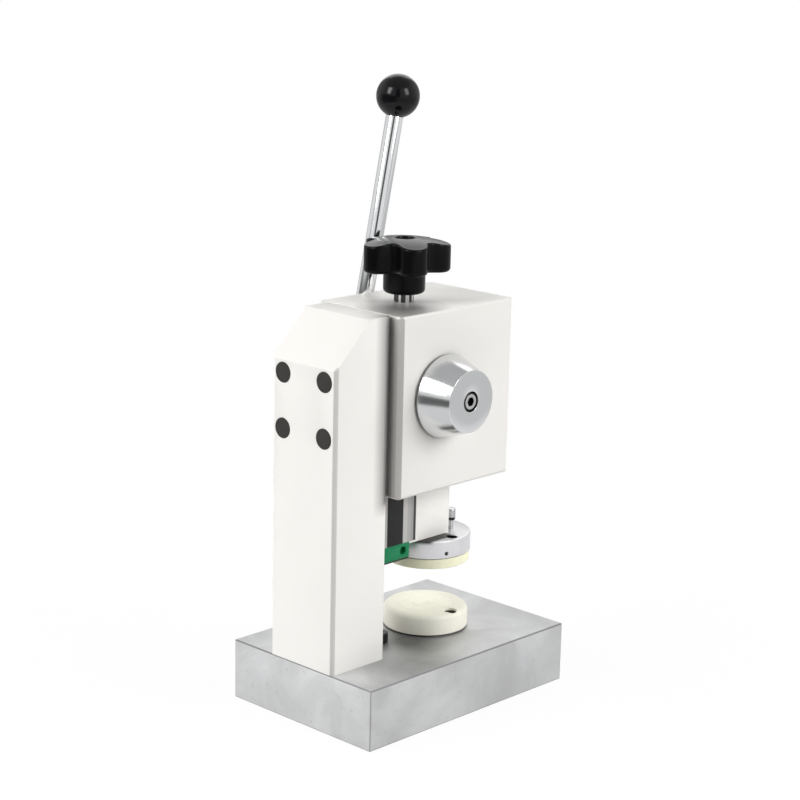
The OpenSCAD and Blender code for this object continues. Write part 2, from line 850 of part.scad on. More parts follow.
module shaft_bushes() {
    color(bronze) for (side = [-1, 1])
        difference() {
            bar_x(bush_d, side * pocket_w / 2, side * side_x, shaft_y, shaft_z);
            bar_x(shaft_d + 2 * running_gap, -side_x - 1, side_x + 1, shaft_y, shaft_z);
        }
}

module spacer_rings() {
    color(bright_steel) for (side = [-1, 1])
        difference() {
            bar_x(bush_d - spacer_less, side * pinion_w / 2, side * (pocket_w / 2 - closing_gap),
                shaft_y, shaft_z);
            bar_x(shaft_d + 2 * seat_gap, -side_x, side_x, shaft_y, shaft_z);
        }
}

// Turned about the shaft's axis and laid along -X, with its wide end at the head
module on_left() {
    translate([-cap_x, shaft_y, shaft_z]) rotate([0, -90, 0]) children();
}

module shaft_end_cap() {
    color(bright_steel) on_left() difference() {
        rotate_extrude() polygon([
            [0, 0], [cap_d / 2, 0], [cap_d / 2, cap_land],
            [cap_face_d / 2, cap_l - flange_bevel], [cap_face_d / 2 - flange_bevel, cap_l],
            [0, cap_l]
        ]);
        translate([0, 0, -1]) cylinder(d = shaft_d + 2 * seat_gap, h = cap_bite + 1);
        translate([0, 0, -1]) cylinder(d = shaft_screw_d + 2 * hole_clear, h = cap_l + 2);
        translate([0, 0, cap_screw_seat])
            cylinder(d = cap_head_d(shaft_screw_d) + 2 * wide_head_clear, h = cap_l);
    }
}

module end_cap_screw() {
    color(black_steel) on_left() translate([0, 0, cap_screw_seat])
        cap_screw(shaft_screw_d, cap_screw_seat - cap_bite + shaft_screw_l);
}

module lever_hub() {
    color(bright_steel) difference() {
        translate([hub_x, shaft_y, shaft_z]) rotate([90, 0, 90]) rotate_extrude() polygon([
            [0, 0], [hub_d / 2 - hub_bevel, 0], [hub_d / 2, hub_bevel],
            [hub_d / 2, hub_l - hub_bevel], [hub_d / 2 - hub_bevel, hub_l], [0, hub_l]
        ]);
        bar_x(shaft_d + 2 * seat_gap, hub_x - 1, hub_end_x + 1, shaft_y, shaft_z);
        key_room(rod_x, key_reach, seat_gap);
        on_lever() cylinder(d = lever_thread_d + 2 * thread_gap, h = hub_d);
    }
}

module hub_washer() {
    color(bright_steel) difference() {
        bar_x(washer_d, hub_end_x, hub_end_x + washer_t, shaft_y, shaft_z);
        bar_x(shaft_screw_d + 2 * hole_clear, hub_end_x - 1, hub_end_x + washer_t + 1,
            shaft_y, shaft_z);
    }
}

module hub_screw() {
    color(black_steel) translate([hub_end_x + washer_t, shaft_y, shaft_z]) rotate([0, 90, 0])
        cap_screw(shaft_screw_d, washer_t + shaft_short + shaft_screw_l);
}

module lever_rod() {
    color(bright_steel) on_lever() union() {
        translate([0, 0, shaft_d / 2 + hub_thread_gap])
            cylinder(d = lever_thread_d, h = hub_d / 2 - shaft_d / 2);
        translate([0, 0, hub_d / 2]) cylinder(d = lever_d, h = ball_foot - hub_d / 2);
        translate([0, 0, ball_foot - 1]) cylinder(d = lever_thread_d, h = ball_bite + 1);
    }
}

module ball_knob() {
    color(gloss_black) on_lever() difference() {
        translate([0, 0, lever_l]) sphere(d = ball_d);
        cylinder(d = ball_d, h = ball_foot);
        cylinder(d = lever_thread_d + 2 * thread_gap, h = ball_foot + ball_bite + closing_gap);
    }
}

// The bush stands on the head and its body fills the hole in the top wall
module threaded_bush() {
    color(bright_steel) translate([0, shaft_y, 0]) difference() {
        union() {
            bar_z(bush_body_d, ceiling_z, column_top + 1, 0, 0);
            translate([0, 0, column_top]) cylinder(d = bush_hex / cos(30), h = bush_hex_h, $fn = 6);
        }
        bar_z(brake_screw_d + 2 * running_gap, ceiling_z - 1, column_top + bush_hex_h + 1, 0, 0);
    }
}

module brake_screw() {
    color(bright_steel) translate([0, shaft_y, 0]) union() {
        bar_z(brake_screw_d, pad_block_top, knob_z + screw_into_knob, 0, 0);
        bar_z(spigot_d, pad_block_top - spigot_l, pad_block_top + 1, 0, 0);
    }
}

// Outline of the star: round-ended arms on a core
module star_outline() {
    lobe_place = star_d / 2 - lobe_r;
    circle(r = star_core_r);
    for (i = [0:star_lobes - 1])
        rotate([0, 0, star_turn + 360 * i / star_lobes]) {
            translate([lobe_place, 0]) circle(r = lobe_r);
            translate([0, -lobe_r]) square([lobe_place, 2 * lobe_r]);
        }
}

// Height of the star's domed top at the distance t from its middle, from 0 to 1
function dome_height(t) = star_h + star_dome * (1 - t * t);

module star_knob() {
    color(gloss_black) translate([0, shaft_y, 0]) difference() {
        union() {
            bar_z(knob_hub_d, knob_z, star_z + 1, 0, 0);
            translate([0, 0, star_z]) intersection() {
                linear_extrude(star_h + star_dome + 1) star_outline();
                rotate_extrude() polygon(concat(
                    [[0, 0], [star_d / 2 - star_bevel, 0], [star_d / 2, star_bevel]],
                    [for (i = [dome_steps:-1:0])
                        [star_d / 2 * i / dome_steps, dome_height(i / dome_steps)]]
                ));
            }
        }
        bar_z(insert_d + 2 * seat_gap, knob_z - 1, knob_z + insert_l, 0, 0);
        bar_z(star_hole_d, star_z + star_h + star_dome - star_hole_depth,
            star_z + star_h + star_dome + 1, 0, 0);
    }
}

module knob_insert() {
    color(bronze) translate([0, shaft_y, 0]) difference() {
        bar_z(insert_d, knob_z, knob_z + insert_l, 0, 0);
        bar_z(brake_screw_d + 2 * seat_gap, knob_z - 1, knob_z + screw_into_knob + 1, 0, 0);
    }
}

// The pad's underside is hollowed to the round of the pinion's groove
module brake_pad() {
    color(bronze) difference() {
        box_between([-pad_block_w / 2, shaft_y - pad_block_l / 2, shaft_z + groove_r - pad_hollow],
            [pad_block_w / 2, shaft_y + pad_block_l / 2, pad_block_top]);
        bar_x(2 * (groove_r + brake_clear), -groove_w, groove_w, shaft_y, shaft_z);
        bar_z(spigot_d + 2 * running_gap, pad_block_top - spigot_l - running_gap,
            pad_block_top + 1, 0, shaft_y);
    }
}

function stud_places() = [for (side = [-1, 1]) [side * stud_x, punch_y - stud_reach]];

module tool_flange() {
    r = flange_d / 2;
    color(satin_aluminium) difference() {
        on_punch(flange_z) rotate_extrude() polygon([
            [0, 0], [r - flange_bevel, 0], [r, flange_bevel], [r, flange_t - flange_bevel],
            [r - flange_bevel, flange_t], [0, flange_t]
        ]);
        on_punch(flange_z - 1) cylinder(d = knife_body_d + 2 * seat_gap, h = knife_seat + 1);
        on_punch(flange_z) cylinder(d = vent_d, h = flange_t + 1);
        bar_z(access_d, flange_z - 1, ram_z + 1, -pad_screw_r, punch_y);
        for (side = [-1, 1]) {
            bar_z(flange_screw_d + 2 * hole_clear, flange_z, ram_z + 1,
                side * flange_screw_x, punch_y + flange_screw_reach);
            bar_z(cap_head_d(flange_screw_d) + 2 * head_clear, flange_z - 1,
                flange_screw_seat, side * flange_screw_x, punch_y + flange_screw_reach);
        }
        for (p = stud_places())
            bar_z(stud_d + 2 * thread_gap, flange_z - 1, ram_z + 1, p.x, p.y);
        on_punch(flange_z + knife_seat / 2) rotate([0, 0, set_screw_turn]) rotate([0, 90, 0])
            cylinder(d = set_screw_d + 2 * thread_gap, h = flange_d);
    }
}

module flange_screws() {
    color(black_steel) for (side = [-1, 1])
        translate([side * flange_screw_x, punch_y + flange_screw_reach, flange_screw_seat])
            rotate([180, 0, 0])
                cap_screw(flange_screw_d, ram_z - flange_screw_seat + flange_screw_bite);
}

module ring_knife() {
    color(bright_steel) on_punch(stripper_z) rotate_extrude() polygon([
        [knife_r, 0], [knife_r + knife_edge, 0], [knife_r + knife_wall, knife_taper],
        [knife_r + knife_wall, stripper_t], [knife_body_d / 2, stripper_t],
        [knife_body_d / 2, stripper_t + knife_seat], [knife_r, stripper_t + knife_seat]
    ]);
}

module knife_set_screw() {
    color(black_steel) on_punch(flange_z + knife_seat / 2)
        rotate([0, 0, set_screw_turn]) rotate([0, 90, 0])
            translate([0, 0, knife_body_d / 2 + set_screw_in]) difference() {
                cylinder(d = set_screw_d, h = set_screw_l);
                translate([0, 0, set_screw_l - set_screw_key])
                    cylinder(d = grub_key(set_screw_d) / cos(30), h = set_screw_key + 1, $fn = 6);
            }
}

module stripper_ring() {
    r = stripper_d / 2;
    bore_r = knife_r + knife_wall + stripper_gap;
    color(ivory) difference() {
        on_punch(stripper_z) rotate_extrude() polygon([
            [bore_r, 0], [r - stripper_bevel, 0], [r, stripper_bevel],
            [r, stripper_t - stripper_bevel], [r - stripper_bevel, stripper_t],
            [bore_r, stripper_t]
        ]);
        bar_z(access_d, stripper_z - 1, flange_z + 1, -pad_screw_r, punch_y);
        for (p = stud_places())
            bar_z(stud_d + 2 * thread_gap, flange_z - stud_bite - thread_gap, flange_z + 1,
                p.x, p.y);
    }
}

// The studs stand on the flange, and their grooved heads are turned by hand
module stripper_studs() {
    groove_step = stud_head_h / (stud_grooves + 1);
    color(bright_steel) for (p = stud_places()) {
        bar_z(stud_d, flange_z - stud_bite, stud_head_z + 1, p.x, p.y);
        difference() {
            bar_z(stud_head_d, stud_head_z, stud_head_z + stud_head_h, p.x, p.y);
            for (i = [1:stud_grooves])
                translate([p.x, p.y, stud_head_z + i * groove_step]) rotate_extrude()
                    translate([stud_head_d / 2, 0]) circle(r = stud_groove, $fn = 16);
        }
    }
}

module stud_nuts() {
    color(black_steel) for (p = stud_places())
        difference() {
            translate([p.x, p.y, stud_nut_z])
                cylinder(d = stud_nut_w / cos(30), h = stud_nut_h, $fn = 6);
            bar_z(stud_d + 2 * seat_gap, stud_nut_z - 1, stud_head_z + 1, p.x, p.y);
        }
}

// Quarter round on the pad's upper rim
function rim_round(r, h) = [
    for (i = [0:round_steps])
        [r - pad_round + pad_round * cos(90 * i / round_steps),
         h - pad_round + pad_round * sin(90 * i / round_steps)]
];

module cutting_pad() {
    r = pad_d / 2;
    color(pad_ivory) difference() {
        on_punch(base_t) rotate_extrude()
            polygon(concat([[0, 0], [r - pad_foot_bevel, 0], [r, pad_foot_bevel]],
                rim_round(r, pad_t), [[0, pad_t]]));
        bar_z(pad_screw_d + 2 * hole_clear, base_t - 1, pad_top + 1, -pad_screw_r, punch_y);
        bar_z(cap_head_d(pad_screw_d) + head_clear, pad_top - pad_screw_sink, pad_top + 1,
            -pad_screw_r, punch_y);
    }
}

module pad_screw() {
    color(black_steel) translate([-pad_screw_r, punch_y, pad_top - pad_screw_sink])
        cap_screw(pad_screw_d, pad_screw_grip + pad_screw_bite);
}

module base_screw() {
    color(black_steel) translate([base_screw_x, base_screw_y, base_t])
        cap_screw(base_screw_d, base_screw_bite);
}

base_plate();
column_bolts();
column();
head_bolts();
bolt_plugs();
head_housing();
guide_rail();
rail_screws();
guide_block();
guide_end_caps();
guide_end_seals();
guide_cap_screws();
guide_balls();
slide_plate();
plate_screws();
ram();
ram_screws();
rack();
rack_screws();
drive_shaft();
pinion();
shaft_keys();
shaft_bushes();
spacer_rings();
shaft_end_cap();
end_cap_screw();
lever_hub();
hub_washer();
hub_screw();
lever_rod();
ball_knob();
threaded_bush();
brake_screw();
star_knob();
knob_insert();
brake_pad();
tool_flange();
flange_screws();
ring_knife();
knife_set_screw();
stripper_ring();
stripper_studs();
stud_nuts();
cutting_pad();
pad_screw();
base_screw();
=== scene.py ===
import json
import math

import bmesh
import bpy
from mathutils import Matrix, Vector


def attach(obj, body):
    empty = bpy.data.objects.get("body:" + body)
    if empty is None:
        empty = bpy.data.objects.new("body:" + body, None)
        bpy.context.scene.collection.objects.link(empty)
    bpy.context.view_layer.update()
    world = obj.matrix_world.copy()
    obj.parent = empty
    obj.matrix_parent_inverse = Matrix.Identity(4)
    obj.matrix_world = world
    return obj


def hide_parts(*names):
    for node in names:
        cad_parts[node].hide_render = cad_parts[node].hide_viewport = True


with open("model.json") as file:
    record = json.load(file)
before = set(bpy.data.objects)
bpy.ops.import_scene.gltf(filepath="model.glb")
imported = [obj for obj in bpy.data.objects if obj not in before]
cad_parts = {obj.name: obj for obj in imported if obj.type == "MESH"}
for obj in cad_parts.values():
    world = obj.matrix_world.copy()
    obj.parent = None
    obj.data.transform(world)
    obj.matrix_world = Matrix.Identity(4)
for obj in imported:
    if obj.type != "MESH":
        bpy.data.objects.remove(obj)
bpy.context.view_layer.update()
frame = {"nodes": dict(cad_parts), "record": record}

NODES = frame["nodes"]
BODY_OF = {n: b for b, ns in frame["record"]["behaviour"]["bodies"].items() for n in ns}
SLOT_OF = {s["node"]: s["material_slot"] for s in frame["record"]["subparts"]}
MM = 0.001

# Places that repeat the model's sizes, in millimetres
SHAFT_Y, SHAFT_Z = 4.0, 182.0
PUNCH_Y = -20.0
TILT = math.radians(12)
LEVER_L = 160.0
CAP_X = -33.0
HUB_X = 33.0
ROD_X = 40.0
BASE_TOP = 35.0
ACCESS_R = 19.5
RING_Z = 76.0
FLANGE_Z = 81.9
RAM_Z = 92.5
HEAD_TOP = 230.0
KNOB_Z = 235.0

# The camera, fitted to edges of the photograph, in metres and radians
CAMERA_AT = (-0.781236, 0.818882, 0.447913)
CAMERA_TURN = (1.332149, -0.021403, -2.371280)
LENS, SENSOR = 92.943, 36.0

# Levels of the studio light, and of what a mirror sees in it
WORLD_LIGHT = 0.1
SHADOW_SHARE = 0.06
FLOOR_MIRROR_SHARE = 0.9
WALL, SIDE_GREY, GAP, BACK_WALL, CEILING = 0.8, 0.55, 0.1, 0.45, 0.5
TABLE, FAR_FLOOR, DARK_FLOOR = 0.75, 0.6, 0.14
TO_CAMERA = (-0.69, 0.724)
TO_DARK_FLOOR = (0.122, 0.993)

# Where the mirrored walls change, as cosines of the level angle to one of these ways
CORNER_START, CORNER_END = (0.6, 0.45), (0.1, 0.3)
GAP_START = (0.97, 0.988)
BACK_START = (-0.5, -0.85)
DARK_START = (0.6, 0.85)

# The same upwards, as the height of the direction
DARK_TOP = (0.13, 0.08)
CEILING_START = (0.6, 0.75)

# Where the floor changes, as distances from the machine in metres
TABLE_END = (0.58, 0.66)
WALL_START = (2.2, 3.4)
BOUNCE_END = (0.7, 0.5)
SHADOW_END = (0.45, 0.12)
FLOOR_REACH = 6.0

# Name, azimuth and elevation in degrees, size in metres, power in watts, seen in mirrors
LAMPS = (
    ("left_box", 52, 22, (1.1, 1.1), 16, False),
    ("right_box", 216, 22, (1.1, 1.1), 15.5, False),
    ("front_box", 313, 36, (1.2, 1.2), 6, True),
    ("left_glint", 81, 34, (0.5, 0.8), 10, True),
    ("right_glint", 186, 30, (0.5, 0.8), 7.5, True),
)
LAMP_DISTANCE = 1.6
LAMP_AIM = (0, 0, 0.16)


# Camera and lights

def add_camera():
    data = bpy.data.cameras.new("camera")
    data.lens = LENS
    data.sensor_width = SENSOR
    data.clip_start, data.clip_end = 0.05, 30.0
    camera = bpy.data.objects.new("camera", data)
    camera.location = CAMERA_AT
    camera.rotation_euler = CAMERA_TURN
    bpy.context.scene.collection.objects.link(camera)
    bpy.context.scene.camera = camera


def add_lamp(name, azimuth, elevation, size, power, mirrored):
    data = bpy.data.lights.new(name, "AREA")
    data.shape = "RECTANGLE"
    data.size, data.size_y = size
    data.energy = power
    lamp = bpy.data.objects.new(name, data)
    lamp.visible_glossy = mirrored
    a, e = math.radians(azimuth), math.radians(elevation)
    towards = Vector((math.cos(a) * math.cos(e), math.sin(a) * math.cos(e), math.sin(e)))
    lamp.location = Vector(LAMP_AIM) + towards * LAMP_DISTANCE
    lamp.rotation_mode = "QUATERNION"
    lamp.rotation_quaternion = towards.to_track_quat("Z", "Y")
    bpy.context.scene.collection.objects.link(lamp)


# Node trees

class Tree:
    """A node tree that is built call by call."""

    def __init__(self, tree):
        self.tree = tree
        tree.nodes.clear()

    def fill(self, socket, value):
        """Links another node's output to the socket, or sets its value."""
        if isinstance(value, bpy.types.NodeSocket):
            self.tree.links.new(value, socket)
        else:
            socket.default_value = value

    def add(self, kind, out=0, **inputs):
        """Adds a node. Keys with a capital set sockets by name, the others set properties.

        I0, I1 and so on set sockets by number, where several have one name.
        """
        node = self.tree.nodes.new(kind)
        for key, value in inputs.items():
            if key[0].islower():
                setattr(node, key, value)
        for key, value in inputs.items():
            if not key[0].islower():
                name = key.replace("_", " ")
                self.fill(node.inputs[int(name[1:]) if name[1:].isdigit() else name], value)
        return node.outputs[out] if node.outputs else None

    def maths(self, operation, a, b=0.0, clamp=False):
        return self.add("ShaderNodeMath", operation=operation, use_clamp=clamp, I0=a, I1=b)

    def ramp(self, fac, low, high):
        """0 up to low and 1 from high on, or the other way round where high is less."""
        return self.add("ShaderNodeMapRange", Value=fac, From_Min=low, From_Max=high)

    def mix(self, fac, a, b):
        """The colour a where fac is 0 and b where it is 1."""
        node = self.tree.nodes.new("ShaderNodeMix")
        node.data_type = "RGBA"
        self.fill(node.inputs[0], fac)
        for socket, colour in ((node.inputs[6], a), (node.inputs[7], b)):
            linked = isinstance(colour, bpy.types.NodeSocket)
            self.fill(socket, colour if linked else (*colour, 1))
        return node.outputs[2]

    def level(self, fac, a, b):
        """The number a where fac is 0 and b where it is 1."""
        return self.add("ShaderNodeMix", I0=fac, I2=a, I3=b)

    def split(self, vector):
        """The three numbers of a vector."""
        node = self.tree.nodes.new("ShaderNodeSeparateXYZ")
        self.tree.links.new(vector, node.inputs[0])
        return node.outputs

    def length(self, x, y):
        squares = self.maths("ADD", self.maths("POWER", x, 2.0), self.maths("POWER", y, 2.0))
        return self.maths("SQRT", squares)


# Floor and world

def along(t, xyz, way):
    """Cosine of the level angle between a direction and a way."""
    dot = t.maths("ADD", t.maths("MULTIPLY", xyz[0], way[0]), t.maths("MULTIPLY", xyz[1], way[1]))
    return t.maths("DIVIDE", dot, t.maths("MAXIMUM", t.length(xyz[0], xyz[1]), 0.001))


def wall_level(t, xyz):
    """Mirrored walls: pale screens, grey corners, a dark gap at the camera, a dim far side."""
    way = along(t, xyz, TO_CAMERA)
    corner = t.maths("MULTIPLY", t.ramp(way, *CORNER_START), t.ramp(way, *CORNER_END))
    level = t.level(corner, WALL, SIDE_GREY)
    level = t.level(t.ramp(way, *GAP_START), level, GAP)
    level = t.level(t.ramp(way, *BACK_START), level, BACK_WALL)
    foot = t.maths("MULTIPLY", t.ramp(along(t, xyz, TO_DARK_FLOOR), *DARK_START),
                   t.ramp(xyz[2], *DARK_TOP))
    level = t.level(foot, level, DARK_FLOOR)
    return t.level(t.ramp(xyz[2], *CEILING_START), level, CEILING)


def floor_level(t, xyz):
    """Mirrored floor: a pale table, and beyond it a grey floor with a dark part."""
    reach = t.length(xyz[0], xyz[1])
    dark = t.ramp(along(t, xyz, TO_DARK_FLOOR), *DARK_START)
    far = t.level(t.ramp(reach, *WALL_START), t.level(dark, FAR_FLOOR, DARK_FLOOR),
                  t.level(dark, WALL, DARK_FLOOR))
    return t.level(t.ramp(reach, *TABLE_END), TABLE, far)


def set_world():
    """Pale studio: white to the camera, and in reflections the walls of wall_level."""
    world = bpy.data.worlds.new("studio")
    bpy.context.scene.world = world
    world.use_nodes = True
    t = Tree(world.node_tree)
    level = wall_level(t, t.split(t.add("ShaderNodeTexCoord")))
    path = t.tree.nodes.new("ShaderNodeLightPath")
    mirrored = t.maths("MAXIMUM", path.outputs["Is Glossy Ray"],
                       path.outputs["Is Transmission Ray"])
    strength = t.level(mirrored, WORLD_LIGHT, level)
    strength = t.level(path.outputs["Is Camera Ray"], strength, 1.0)
    light = t.add("ShaderNodeBackground", Color=(1.0, 1.0, 1.0, 1), Strength=strength)
    t.add("ShaderNodeOutputWorld", Surface=light)


def add_floor():
    """White to the camera with a light shadow near the base, and grey to the light."""
    mesh = bpy.data.meshes.new("floor")
    s = FLOOR_REACH
    mesh.from_pydata([(-s, -s, 0), (s, -s, 0), (s, s, 0), (-s, s, 0)], [], [(0, 1, 2, 3)])
    floor = bpy.data.objects.new("floor", mesh)
    bpy.context.scene.collection.objects.link(floor)
    material = bpy.data.materials.new("floor")
    material.use_nodes = True
    t = Tree(material.node_tree)
    path = t.tree.nodes.new("ShaderNodeLightPath")
    shown, mirrored = path.outputs["Is Camera Ray"], path.outputs["Is Glossy Ray"]
    at = t.split(t.add("ShaderNodeTexCoord", out=3))
    reach = t.length(at[0], at[1])
    bounce = t.mix(t.ramp(reach, *BOUNCE_END), (0.2, 0.2, 0.2), (0.8, 0.8, 0.8))
    lit = t.add("ShaderNodeBsdfDiffuse", Color=t.mix(shown, bounce, (1.0, 1.0, 1.0)))
    glow = t.add("ShaderNodeEmission", Color=(1, 1, 1, 1),
                 Strength=t.level(mirrored, 1.0, floor_level(t, at)))
    clear = t.level(t.ramp(reach, *SHADOW_END), 1.0, 1.0 - SHADOW_SHARE)
    fac = t.level(shown, t.maths("MULTIPLY", mirrored, FLOOR_MIRROR_SHARE), clear)
    t.add("ShaderNodeOutputMaterial",
          Surface=t.add("ShaderNodeMixShader", Fac=fac, I1=lit, I2=glow))
    mesh.materials.append(material)


# Materials

# Scales of the noises that a surface is made of, in waves for each metre
FINE_SCALE, LATHE_SCALE, FLECK_SCALE = 900.0, 3800.0, 420.0

# Lathe lines also change along the axis, by this share, so that round sides show them
LATHE_SLANT = 1.7
FLECK_COLOUR = 0.45
BUMP_HEIGHT = 0.0001
SHORT_EDGE = 0.2


def from_axis(t, xyz, axis, centre):
    """Distance from a line along axis through centre, in metres."""
    across = [k for k in range(3) if "XYZ"[k] != axis]
    return t.length(*[t.maths("SUBTRACT", xyz[k], centre[i] * MM)
                      for i, k in enumerate(across)])


def area_mask(t, xyz, limits, edge):
    """1 where X, Y, Z or the distance R from an axis lie in limits, in millimetres.

    The change is as wide as edge, but short along X, Y and Z where there is an R.
    """
    mask = 1.0
    width = edge
    if "R" in limits:
        axis, centre, inner, outer = limits["R"]
        out = from_axis(t, xyz, axis, centre)
        mask = t.maths("MULTIPLY", t.ramp(out, (inner - edge) * MM, inner * MM),
                       t.ramp(out, (outer + edge) * MM, outer * MM))
        width = min(edge, SHORT_EDGE)
    for key in [k for k in limits if k != "R"]:
        value = xyz["XYZ".index(key)]
        for limit, side in zip(limits[key], (-width, width)):
            mask = t.maths("MULTIPLY", mask, t.ramp(value, (limit + side) * MM, limit * MM))
    return mask


def surface(name, colour, cloud, metallic=0.0, rough=0.4, bump=0.1, grain=None, turned=None,
            fleck=0.0, areas=(), **sockets):
    """A procedural surface in the piece's own coordinates.

    cloud is (scale, share) of slow colour changes, grain the noise scale along X, Y and Z,
    turned the axis and the place across it of fine lathe lines, fleck the share of small
    darker spots, and areas the (limits, edge, colour) of parts in another colour, where edge
    is the width of the change. A number in the colour's place makes the part darker or paler.
    """
    material = bpy.data.materials.new(name)
    material.use_nodes = True
    t = Tree(material.node_tree)
    at = t.add("ShaderNodeTexCoord", out=3)
    xyz = t.split(at)

    scale, share = cloud
    slow = t.add("ShaderNodeTexNoise", Vector=at, Scale=scale, Detail=4.0, Roughness=0.55,
                 Distortion=0.6)
    base = t.mix(t.ramp(slow, 0.32, 0.68), [c * (1 - share) for c in colour],
                 [min(1.0, c * (1 + share)) for c in colour])
    for limits, edge, other in areas:
        if isinstance(other, float):
            other = t.add("ShaderNodeVectorMath", operation="SCALE", Vector=base, Scale=other)
        base = t.mix(area_mask(t, xyz, limits, edge), base, other)
    if fleck:
        spots = t.add("ShaderNodeTexNoise", Vector=at, Scale=FLECK_SCALE, Detail=2.0)
        marks = t.maths("MULTIPLY", t.ramp(spots, 0.66, 0.72), fleck)
        base = t.mix(marks, base, [c * FLECK_COLOUR for c in colour])

    if turned:
        run = t.maths("ADD", from_axis(t, xyz, *turned),
                      t.maths("MULTIPLY", xyz["XYZ".index(turned[0])], LATHE_SLANT))
        height = t.add("ShaderNodeTexNoise", noise_dimensions="1D", W=run, Scale=LATHE_SCALE,
                       Detail=2.0)
    elif grain:
        lay = t.add("ShaderNodeMapping", Vector=at, Scale=grain)
        height = t.add("ShaderNodeTexNoise", Vector=lay, Scale=1.0, Detail=3.0)
    else:
        height = t.add("ShaderNodeTexNoise", Vector=at, Scale=FINE_SCALE, Detail=3.0)
    wear = t.maths("MULTIPLY", t.maths("SUBTRACT", slow, 0.5), 0.5 * rough)
    fine = t.maths("MULTIPLY", t.maths("SUBTRACT", height, 0.5), 0.35 * rough)
    roughness = t.maths("ADD", t.maths("ADD", wear, fine), rough, clamp=True)
    lift = t.add("ShaderNodeBump", Height=height, Strength=bump, Distance=BUMP_HEIGHT)
    shader = t.add("ShaderNodeBsdfPrincipled", Base_Color=base, Metallic=metallic,
                   Roughness=roughness, Normal=lift, **sockets)
    t.add("ShaderNodeOutputMaterial", Surface=shader)
    return material


WHITE = (0.845, 0.83, 0.795)
# A paler copy of the white paint for the ram: painted light
RAM_WHITE_PAINTED_LIGHT = tuple(1.12 * c for c in WHITE)
BLACK = (0.02, 0.02, 0.02)
# Dark of the base's bevels, a painted reflection
PAINTED_BEVEL_DARK = (0.27, 0.27, 0.28)
ON_SHAFT = ("X", (SHAFT_Y, SHAFT_Z))
ON_PUNCH = ("Z", (0.0, PUNCH_Y))
ON_ACCESS = ("Z", (-ACCESS_R, PUNCH_Y))
UPPER_SIDE = {"Z": (BASE_TOP - 0.1, BASE_TOP + 1)}
HEAD_UPPER_SIDE = {"Z": (HEAD_TOP - 0.1, HEAD_TOP + 1)}
